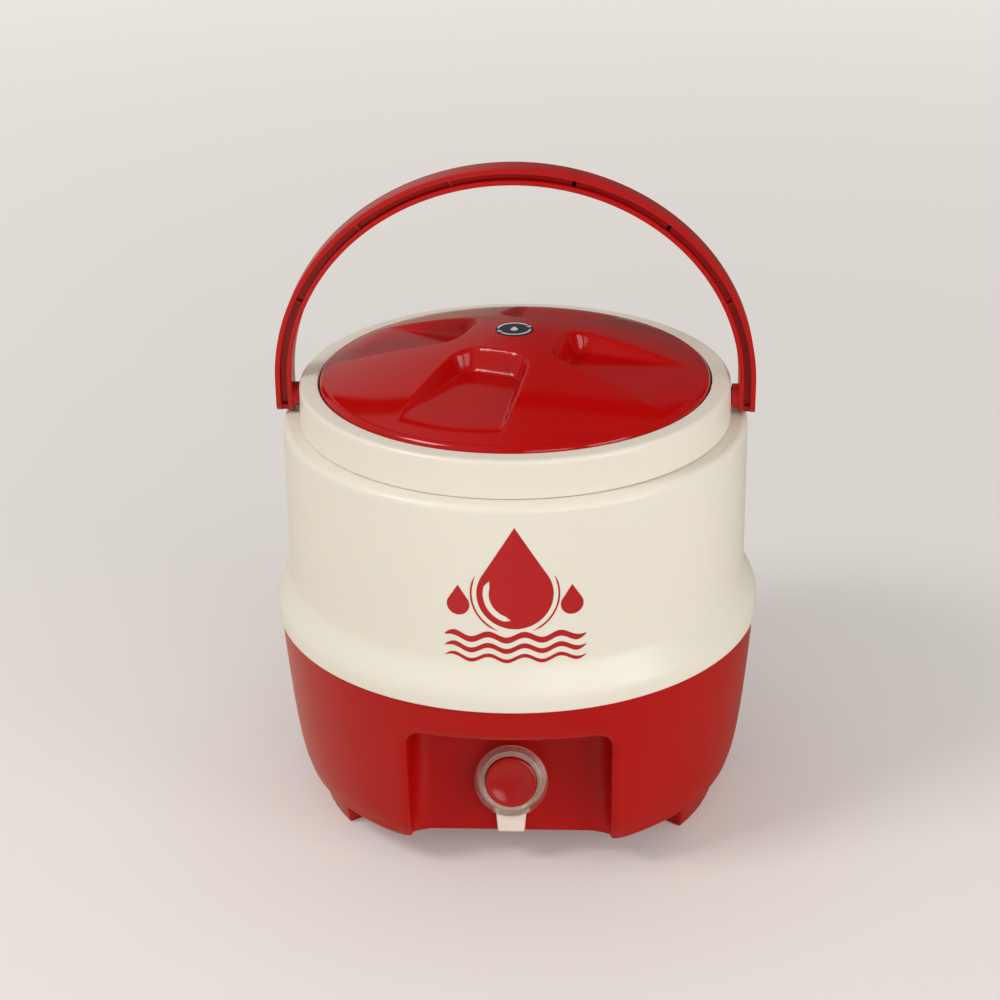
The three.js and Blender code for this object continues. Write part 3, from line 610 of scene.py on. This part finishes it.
def makeBar():  # a straight H section along X, one unit long, cut into steps
    bpy.ops.object.select_all(action='DESELECT')
    bpy.ops.mesh.primitive_plane_add(size=1, rotation=(0, math.pi / 2, 0))
    piece = named('bail_handle')
    bpy.ops.object.transform_apply(rotation=True)
    bpy.ops.object.mode_set(mode='EDIT')
    for place, axis in (((0, -0.1, 0), (0, 1, 0)), ((0, 0.1, 0), (0, 1, 0)),
                        ((0, 0, -0.2), (0, 0, 1)), ((0, 0, 0.2), (0, 0, 1))):
        bpy.ops.mesh.select_all(action='SELECT')
        bpy.ops.mesh.bisect(plane_co=place, plane_no=axis)
    bpy.ops.mesh.select_mode(type='FACE')
    bpy.ops.mesh.select_all(action='DESELECT')
    bpy.ops.object.mode_set(mode='OBJECT')
    for polygon in piece.data.polygons:
        polygon.select = abs(polygon.center.z) < 0.1 and abs(polygon.center.y) > 0.2
    bpy.ops.object.mode_set(mode='EDIT')
    bpy.ops.mesh.delete(type='FACE')
    bpy.ops.mesh.select_all(action='SELECT')
    bpy.ops.mesh.extrude_region_move(TRANSFORM_OT_translate={'value': (1, 0, 0)})
    bpy.ops.mesh.select_mode(type='VERT')
    bpy.ops.object.mode_set(mode='OBJECT')
    sliceAcross(piece, [i / bail['steps'] for i in range(1, bail['steps'])])
    return piece


def makeHandle():
    d = bail
    armLength = d['centre'] - d['end']
    quarterArc = math.pi / 2 * (d['outerHalf'] + d['armOuter']) / 2
    total = 2 * (armLength + quarterArc)
    piece = makeBar()

    def shape(point):  # bends the bar into the arch
        run = point.x * total
        if run < armLength or run > total - armLength:
            side = 1 if run < armLength else -1
            height = d['end'] + (run if side > 0 else total - run)
            outer, inner = Vector((side * d['armOuter'], height)), Vector((side * d['armInner'], height))
        else:
            angle = math.pi * (run - armLength) / (total - 2 * armLength)
            outer = Vector((d['armOuter'] * math.cos(angle), d['centre'] + d['outerHalf'] * math.sin(angle)))
            inner = Vector((d['armInner'] * math.cos(angle), d['centre'] + d['innerHalf'] * math.sin(angle)))
        thick = (outer - inner).length
        # each key is an edge's height on the straight bar, in tenths
        levels = {-5: 0, -2: d['innerFlange'], 2: thick - d['outerFlange'], 5: thick}
        spot = inner + (outer - inner) * levels[round(point.z * 10)] / thick
        y = math.copysign(d['depth'] / 2 if abs(point.y) > 0.3 else d['web'] / 2, point.y)
        return Vector((spot.x, y, spot.y)) * mm

    moveVertices(piece, shape)
    recalc(piece)
    drop = d['pivot'] - d['end']
    below = addBlock('below_pivots', (*d['cutSize'], drop * 2), (0, 0, d['pivot'] - drop))
    ending = addPin('end_round', drop, d['cutLength'], 0, d['pivot'], 160)
    combine(below, settle(ending), 'DIFFERENCE')
    combine(piece, below, 'DIFFERENCE')  # the arms' ends are round about the pivots
    bevelEdges(piece, d['rounding'], 3, 40)
    middleX = (d['armOuter'] - d['outerFlange'] + d['armInner'] + d['innerFlange']) / 2
    middleZ = (d['outerHalf'] - d['outerFlange'] + d['innerHalf'] + d['innerFlange']) / 2
    for side in (-1, 1):
        for rib in d['ribs']:
            a = math.radians(rib) * side
            slope = math.atan2(middleX * math.sin(a), middleZ * math.cos(a))
            place = (middleX * math.sin(a), 0, d['centre'] + middleZ * math.cos(a))
            block = addBlock('rib', (d['rib'], d['ribDepth'], d['ribHeight']), place, slope)
            bevelEdges(block, d['ribRound'], 2)
            combine(piece, block, 'UNION')
        block = addBlock('toe_floor', (d['ribHeight'], d['ribDepth'], d['floorWall']),
                         (side * middleX, 0, d['floor']))
        bevelEdges(block, d['ribRound'], 2)
        combine(piece, block, 'UNION')
        near = d['armInner'] + d['pegSunk']
        for radius, far in ((d['boss'], neck['radius'] + d['neckGap']),
                            (d['peg'], neck['radius'] - d['pegReach'])):
            pin = settle(addPin('pivot_pin', radius, near - far, side * (near + far) / 2, d['pivot']))
            bevelEdges(pin, d['pegRound'], 2)
            combine(piece, pin, 'UNION')
    smooth(piece, 40)
    wear(piece, handleRed)
    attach(piece, "bail")
    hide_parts("handle")


makeHandle()
print("handle made")


# push tap

tap = {'rise': 30.8, 'cup': 17.0, 'cupBack': 0.3, 'cupFront': 11, 'cupBore': 15.05, 'cupFloor': 6.2, 'tail': 8,
       'tailBore': 6, 'tailEnd': -19.6, 'guide': 6.5, 'guideTop': 7.2, 'stemBore': 2.8, 'bulkhead': 5,
       'ring': 20.7, 'ringInner': 16.3, 'ringFace': 14.8, 'ringFall': 3, 'ringEdge': 1.5, 'ringLip': 0.7,
       'ringGap': 0.3, 'button': 14.9, 'buttonFace': 14.5, 'buttonBack': 10.6, 'buttonRound': 1.9,
       'buttonWall': 1.4, 'dish': 1.7, 'dishRadius': 12, 'dishRings': 12, 'spoutWidth': 18, 'spoutTip': 15,
       'spoutReach': 30.5, 'spoutBack': 1.5, 'spoutDepth': 8.5, 'spoutWall': 1.8, 'spoutSunk': 1.6,
       'spoutRound': 1.1, 'outletRound': 0.7, 'outletBeyond': 6}
tapFrame = recessFrame @ Matrix.Translation((0, tap['rise'] * mm, 0))


def makeSpout(name, thinner, longer, rounding, segments):  # the spout, or what is cut out of it
    t = tap
    top = -t['cup'] + t['spoutSunk']
    length = t['spoutReach'] + top
    middle = t['spoutBack'] + t['spoutDepth'] / 2
    piece = addCube(name)
    moveVertices(piece, lambda p: Vector((
        p.x * ((t['spoutWidth'] if p.y > 0 else t['spoutTip']) - thinner),
        top + (p.y - 0.5) * (length + longer), middle + p.z * (t['spoutDepth'] - thinner))) * mm)
    bevelEdges(piece, rounding, segments)
    return piece


def makeTapBody():
    t = tap
    piece = turn('tap_housing', softLine([
        (t['tail'], t['tailEnd'], 0.6), (t['tail'], t['cupBack'], 0), (t['cup'], t['cupBack'], 0.5),
        (t['cup'], t['cupFront'], 0.4), (t['cupBore'], t['cupFront'], 0.3), (t['cupBore'], t['cupFloor'], 0.3),
        (t['guide'], t['cupFloor'], 0.3), (t['guide'], t['guideTop'], 0.2), (t['stemBore'], t['guideTop'], 0.2),
        (t['stemBore'], t['bulkhead'], 0), (t['tailBore'], t['bulkhead'], 0),
        (t['tailBore'], t['tailEnd'], 0.3)], 3), 72)
    combine(piece, makeSpout('spout', 0, 0, t['spoutRound'], 4), 'UNION')
    outlet = makeSpout('outlet', t['spoutWall'] * 2, t['outletBeyond'], t['outletRound'], 3)
    combine(piece, outlet, 'DIFFERENCE')
    settle(piece, tapFrame)
    smooth(piece)
    wear(piece, spoutWhite)
    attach(piece, "jug")
    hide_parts("tap_body")


def makeTapRing():
    t = tap
    bore, outside, back = (t[key] + t['ringGap'] for key in ('cupBore', 'cup', 'cupFront'))
    shoulder = t['ringFace'] - t['ringFall']
    piece = turn('tap_clear_ring', softLine([
        (bore, back, 0), (bore, t['ringFace'] - t['ringLip'], 0), (t['ringInner'], t['ringFace'], 0.35),
        (t['ring'], shoulder, 0.35), (t['ring'], shoulder - t['ringEdge'], 0.4),
        (outside, shoulder - t['ringEdge'], 0.2), (outside, back, 0)], 4), 96)
    settle(piece, tapFrame)
    smooth(piece)
    wear(piece, clearPlastic)
    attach(piece, "jug")
    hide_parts("tap_ring")


def makeTapButton():
    t = tap
    under = t['buttonFace'] - t['dish'] - t['buttonWall']
    inside = t['button'] - t['buttonWall']
    shares = [1 - i / t['dishRings'] for i in range(1, t['dishRings'])]
    dish = [(t['dishRadius'] * s, t['buttonFace'] - t['dish'] * (1 - s ** 3), 0) for s in shares]
    piece = turn('tap_push_button', softLine([
        (0, under, 0), (inside, under, 0.3), (inside, t['buttonBack'], 0.3), (t['button'], t['buttonBack'], 0.4),
        (t['button'], t['buttonFace'], t['buttonRound']), (t['dishRadius'], t['buttonFace'], 0.3),
        *dish, (0, t['buttonFace'] - t['dish'], 0)], 4), 96)
    settle(piece, tapFrame)
    smooth(piece)
    wear(piece, buttonRed)
    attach(piece, "button")
    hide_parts("tap_button")


makeTapBody()
makeTapRing()
makeTapButton()
print("tap made")


# the print on the drum: three drops over three waves

printed = {'height': 184.5, 'place': 4.7, 'slice': 1.6, 'slices': 26, 'sunk': 0.05, 'proud': 0.07,
           'drops': ((0, 1, 20.5, 39), (-30.5, -6, 6.2, 11.5), (30.5, -6, 6.2, 11.5)),
           'glint': (-5, 3.2, 150, 262), 'ripples': ((3, 1, 152, 248), (3, 1, 292, 388)),
           'waves': ((-24.6, 3.6), (-31.2, 3.0), (-37.2, 2.2)), 'waveHalf': 38.5, 'waveRise': 1.7,
           'waveLength': 19.25}


def makePlate(name, outline, low, high):  # a flat plate from its outline, standing between two heights
    bpy.ops.object.select_all(action='DESELECT')
    bpy.ops.mesh.primitive_circle_add(vertices=len(outline), radius=1, fill_type='NGON')
    piece = named(name)
    for vertex, (x, y) in zip(piece.data.vertices, outline):
        vertex.co = Vector((x, y, low)) * mm
    piece.data.update()
    bpy.ops.object.mode_set(mode='EDIT')
    bpy.ops.mesh.select_all(action='SELECT')
    bpy.ops.mesh.extrude_region_move(TRANSFORM_OT_translate={'value': (0, 0, (high - low) * mm)})
    bpy.ops.object.mode_set(mode='OBJECT')
    recalc(piece)
    return piece


def dropOutline(x, y, radius, tip, steps=48):  # round below, drawn out to a tip above
    lean = math.acos(radius / tip)
    points = []
    for i in range(steps + 1):
        angle = math.pi / 2 + lean + (math.tau - 2 * lean) * i / steps
        points.append((x + radius * math.cos(angle), y + radius * math.sin(angle)))
    return points + [(x, y + tip)]


def bandOutline(centre, width, half, rise, length, point=6, blunt=0.6, steps=96):
    # a wave of even width with pointed ends
    def edge(s, side):
        taper = min(1, (half - abs(s)) / point)
        return centre + rise * math.sin(math.tau * s / length) + side * width / 2 * taper ** blunt
    along = [-half + 2 * half * i / steps for i in range(steps + 1)]
    return [(s, edge(s, -1)) for s in along] + [(s, edge(s, 1)) for s in along[-2:0:-1]]


def arcOutline(x, y, radius, width, start, end, pointed=8, steps=40):
    # a thin arc that runs to a point over an eighth of its length at each end
    points = []
    for side in (1, -1):
        for i in range(steps + 1) if side > 0 else range(steps - 1, 0, -1):
            angle = math.radians(start + (end - start) * i / steps)
            reach = radius + side * width / 2 * min(1, pointed * min(i, steps - i) / steps)
            points.append((x + reach * math.cos(angle), y + reach * math.sin(angle)))
    return points


def joinPieces(pieces, name):
    bpy.ops.object.select_all(action='DESELECT')
    for piece in pieces:
        piece.select_set(True)
    bpy.context.view_layer.objects.active = pieces[0]
    bpy.ops.object.join()
    pieces[0].name = name
    pieces[0].data.name = name
    return pieces[0]


def makePrint():
    p = printed
    plates = [makePlate('drop', dropOutline(*drop), 0, 1) for drop in p['drops']]
    x, y, radius, _ = p['drops'][0]
    away, *rest = p['glint']
    combine(plates[0], makePlate('glint', arcOutline(x, y, radius + away, *rest), -1, 2), 'DIFFERENCE')
    plates += [makePlate('ripple', arcOutline(x, y, radius + away, *rest), 0, 1) for away, *rest in p['ripples']]
    plates += [makePlate('wave', bandOutline(centre, width, p['waveHalf'], p['waveRise'], p['waveLength']), 0, 1)
               for centre, width in p['waves']]
    for plate in plates:
        pick(plate)
        bpy.ops.object.mode_set(mode='EDIT')
        bpy.ops.mesh.select_all(action='SELECT')
        bpy.ops.mesh.quads_convert_to_tris()
        bpy.ops.object.mode_set(mode='OBJECT')
        sliceAcross(plate, [i * p['slice'] * mm for i in range(-p['slices'], p['slices'] + 1)])
    piece = joinPieces(plates, 'wave_print')

    def wrap(point):  # rolls the flat plates round the drum
        height = p['height'] + point.y / mm
        radius = drumRadius(height) + (p['proud'] if point.z > 0.0005 else -p['sunk'])
        angle = (p['place'] + point.x / mm) / drum['bodyRadius']
        return Vector((radius * math.sin(angle), -radius * math.cos(angle), height)) * mm

    moveVertices(piece, wrap)
    recalc(piece)
    wear(piece, printRed)
    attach(piece, "jug")


makePrint()
print("print made")


# the lid's round label with a turning arrow

badge = {'radius': 10.6, 'low': 285.2, 'high': 285.72, 'ring': 9.2, 'ringWidth': 1.3, 'ink': 0.06, 'inkSunk': 0.03,
         'head': 1.6, 'headTurn': 0.24, 'spans': ((28, 182), (208, 362)), 'drop': (0, -1, 2.1, 4.8)}


def makeBadge():
    b = badge
    disc = turn('label_disc', softLine([
        (0, b['low'], 0), (b['radius'], b['low'], 0.1), (b['radius'], b['high'], 0.2), (0, b['high'], 0)], 3), 96)
    smooth(disc)
    wear(disc, labelNavy)
    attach(disc, "lid")
    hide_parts("lid_label")
    low, high = b['high'] - b['inkSunk'], b['high'] + b['ink']
    inks = []
    for start, end in b['spans']:
        inks.append(makePlate('arrow_arc', arcOutline(0, 0, b['ring'], b['ringWidth'], start, end), low, high))
        a = math.radians(start)
        corners = ((b['ring'] + b['head'], a), (b['ring'] - b['head'], a), (b['ring'], a - b['headTurn']))
        inks.append(makePlate('arrow_head', [(r * math.cos(t), r * math.sin(t)) for r, t in corners], low, high))
    inks.append(makePlate('small_drop', dropOutline(*b['drop']), low, high))
    ink = joinPieces(inks, 'label_arrow')
    wear(ink, labelInk)
    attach(ink, "lid")


makeBadge()
print("label made")


# the lid's three-start thread, on the plug and in the neck

thread = {'starts': 3, 'lead': 18, 'rootWidth': 2.6, 'crestWidth': 1.2, 'sunk': 0.3, 'steps': 72, 'taper': 0.06,
          'endHeight': 0.15}
plugThread = {'root': 105, 'crest': 106.3, 'low': 230.6, 'high': 245.4}
boreThread = {'root': 107, 'crest': 105.7, 'low': 241.4, 'high': 248.6}


def makeThread(name, place, shift):
    # one ridge is a straight bar wound up the helix, the other starts are copies of it
    t, p = thread, place
    sweep = math.tau * (p['high'] - p['low']) / t['lead']
    inward = math.copysign(1, p['crest'] - p['root'])
    first = addCube(name)
    sliceAcross(first, [i / t['steps'] - 0.5 for i in range(1, t['steps'])])

    def wind(point):
        run = point.x + 0.5
        full = min(1, t['endHeight'] + min(run, 1 - run) / t['taper'])
        crest = point.y > 0
        radius = p['root'] + (p['crest'] - p['root']) * full if crest else p['root'] - inward * t['sunk']
        half = (t['crestWidth'] if crest else t['rootWidth']) / 2
        angle = math.radians(shift) + sweep * run
        height = p['low'] + (p['high'] - p['low']) * run + math.copysign(half, point.z)
        return Vector((radius * math.cos(angle), radius * math.sin(angle), height)) * mm

    moveVertices(first, wind)
    ridges = [first]
    for start in range(1, t['starts']):
        pick(first)
        bpy.ops.object.duplicate()
        ridge = bpy.context.object
        bpy.ops.transform.rotate(value=math.tau / t['starts'] * start, orient_axis='Z', center_override=(0, 0, 0))
        ridges.append(settle(ridge))
    piece = joinPieces(ridges, name)
    recalc(piece)
    smooth(piece)
    wear(piece, creamNeck)
    return piece


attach(makeThread('plug_thread', plugThread, 0), "lid")
# half a ridge's spacing further up than the plug's, so that the two run side by side
above = boreThread['low'] - plugThread['low'] - thread['lead'] / thread['starts'] / 2
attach(makeThread('bore_thread', boreThread, above / thread['lead'] * 360), "jug")
print("threads made")


# finishes of the CAD nodes that stay

for nodeName, material in {
        'inner_liner': linerWhite, 'insulation_foam': foamYellow, 'lid_foam': foamYellow, 'lid_plug': creamNeck,
        'lid_gasket': sealRubber, 'tap_gasket': sealRubber, 'tap_nut': spoutWhite,
        'stem_seal': sealRubber, 'valve_stem': spoutWhite, 'valve_seal': sealRubber,
        'return_spring': springSteel}.items():
    wear(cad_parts[nodeName], material)
print("inner pieces finished")


# camera, floor and light

camera = {'place': (50.4, -1135.3, 703.6), 'yaw': -3.02, 'pitch': 24.766, 'roll': -0.837, 'lens': 76.966,
          'filmWidth': 36, 'sees': (0.05, 50)}
# spans are (from low, from high, to low, to high), in metres on the floor
studioFloor = {'size': 12, 'place': (0, 2, 0), 'roughness': 0.8, 'cloudScale': 1.5, 'cloudDetail': 3,
               'near': ((228, 224, 221), (225, 220, 217)), 'far': (250, 248, 246), 'farSpan': (0.7, 3.0, 0, 1),
               # the mirrored colours and reach, with the near and side spans, are a painted reflection: the floor
               # as glossy rays see it
               'mirroredNear': (60, 52, 42), 'mirroredFar': (240, 230, 212), 'mirroredReach': (0.22, 0.7),
               'nearSpan': (-0.15, 0.15, 1.0, 0.5), 'sideSpan': (-0.5, 0.15, 0.95, 0.15),
               'lift': (255, 252, 248), 'liftSpan': (0.2, 2.5, 0.14, 0.36)}
sky = {'colour': (238, 235, 229), 'light': 0.53, 'shown': 0.95, 'mirroredSpan': (-0.32, 0.08, 0.5, 0.13)}
studioAim = (0, 0, 0.2)  # what the lamps point at
lamps = {'keyLamp': ((0.7, 0.7), 19, (-1.42, -0.79, 1.8), (1, 0.985, 0.96)),  # size, power, place, colour
         'frontLamp': ((0.9, 0.9), 6.5, (0.75, -1.95, 0.9), (1, 0.99, 0.97)),
         'rightLamp': ((0.9, 1.2), 12.5, (1.76, -1.23, 0.66), (1, 0.985, 0.96))}


def makeCamera():
    c = camera
    yaw, pitch, roll = (math.radians(c[k]) for k in ('yaw', 'pitch', 'roll'))
    forward = Vector((math.sin(yaw) * math.cos(pitch), math.cos(yaw) * math.cos(pitch), -math.sin(pitch)))
    right = Vector((math.cos(yaw), -math.sin(yaw), 0))
    up = right.cross(forward)
    across = right * math.cos(roll) + up * math.sin(roll)
    upward = up * math.cos(roll) - right * math.sin(roll)
    data = bpy.data.cameras.new('camera')
    data.lens = c['lens']
    data.sensor_width = c['filmWidth']
    data.clip_start, data.clip_end = c['sees']
    seen = bpy.data.objects.new('camera', data)
    bpy.context.collection.objects.link(seen)
    turned = Matrix((across, upward, -forward)).transposed().to_4x4()
    seen.matrix_world = Matrix.Translation(Vector(c['place']) * mm) @ turned
    bpy.context.scene.camera = seen


def mapRange(tree, value, span, **settings):
    ends = dict(zip(('From Min', 'From Max', 'To Min', 'To Max'), span))
    return addNode(tree, 'ShaderNodeMapRange', {'Value': value, **ends}, **settings).outputs[0]


def blend(tree, share, first, second, kind='RGBA'):
    node = addNode(tree, 'ShaderNodeMix', {'Factor': share, 'A': first, 'B': second}, data_type=kind)
    return node.outputs['Result']


def makeFloor():
    f = studioFloor
    bpy.ops.object.select_all(action='DESELECT')
    bpy.ops.mesh.primitive_plane_add(size=f['size'], location=f['place'])
    floor = named('studio_floor')
    settle(floor)
    material = bpy.data.materials.new('paleFloor')
    material.use_nodes = True
    tree = material.node_tree
    shader = tree.nodes['Principled BSDF']
    where = addNode(tree, 'ShaderNodeTexCoord').outputs['Object']
    cloud = addNode(tree, 'ShaderNodeTexNoise',
                    {'Vector': where, 'Scale': f['cloudScale'], 'Detail': f['cloudDetail']})
    near = blend(tree, cloud.outputs[0], *(paint(*colour) for colour in f['near']))
    distance = addNode(tree, 'ShaderNodeVectorMath', {0: where}, operation='LENGTH').outputs['Value']
    pale = blend(tree, mapRange(tree, distance, f['farSpan']), near, paint(*f['far']))
    # painted reflection: glossy rays see the floor in colours of its own, bright near the jug and on the left,
    # darker away from it and to the right
    across = addNode(tree, 'ShaderNodeSeparateXYZ', {0: where}).outputs['X']
    side = mapRange(tree, across, f['sideSpan'])
    close = mapRange(tree, across, f['nearSpan'])
    away = mapRange(tree, distance, (*f['mirroredReach'], close, side))
    mirrored = blend(tree, away, paint(*f['mirroredNear']), paint(*f['mirroredFar']))
    seenBy = addNode(tree, 'ShaderNodeLightPath').outputs
    tree.links.new(blend(tree, seenBy['Is Glossy Ray'], pale, mirrored), shader.inputs['Base Color'])
    # the camera sees it paler than the jug does
    lift = mapRange(tree, distance, f['liftSpan'])
    shown = addNode(tree, 'ShaderNodeMath', {0: lift, 1: seenBy['Is Camera Ray']}, operation='MULTIPLY')
    shader.inputs['Emission Color'].default_value = paint(*f['lift'])
    tree.links.new(shown.outputs[0], shader.inputs['Emission Strength'])
    shader.inputs['Roughness'].default_value = f['roughness']
    wear(floor, material)


def addLamp(name, size, power, place, colour):
    data = bpy.data.lights.new(name, 'AREA')
    data.shape = 'RECTANGLE'
    data.size, data.size_y = size
    data.energy = power
    data.color = colour
    lamp = bpy.data.objects.new(name, data)
    bpy.context.collection.objects.link(lamp)
    lamp.location = place
    lamp.rotation_euler = (Vector(studioAim) - Vector(place)).to_track_quat('-Z', 'Y').to_euler()


def makeLight():
    world = bpy.data.worlds.new('studio')
    bpy.context.scene.world = world
    world.use_nodes = True
    tree = world.node_tree
    shade = tree.nodes['Background']
    shade.inputs['Color'].default_value = paint(*sky['colour'])
    # reflections see a dimmer sky, brightest on the left, and the camera sees a brighter one
    where = addNode(tree, 'ShaderNodeTexCoord').outputs['Generated']
    across = addNode(tree, 'ShaderNodeSeparateXYZ', {0: where}).outputs['X']
    mirrored = mapRange(tree, across, sky['mirroredSpan'], interpolation_type='SMOOTHSTEP')
    seenBy = addNode(tree, 'ShaderNodeLightPath').outputs
    strength = blend(tree, seenBy['Is Glossy Ray'], sky['light'], mirrored, 'FLOAT')
    shown = blend(tree, seenBy['Is Camera Ray'], strength, sky['shown'], 'FLOAT')
    tree.links.new(shown, shade.inputs['Strength'])
    for name, values in lamps.items():
        addLamp(name, *values)


makeCamera()
makeFloor()
makeLight()
bpy.context.scene.view_settings.view_transform = 'Standard'
print("studio made")
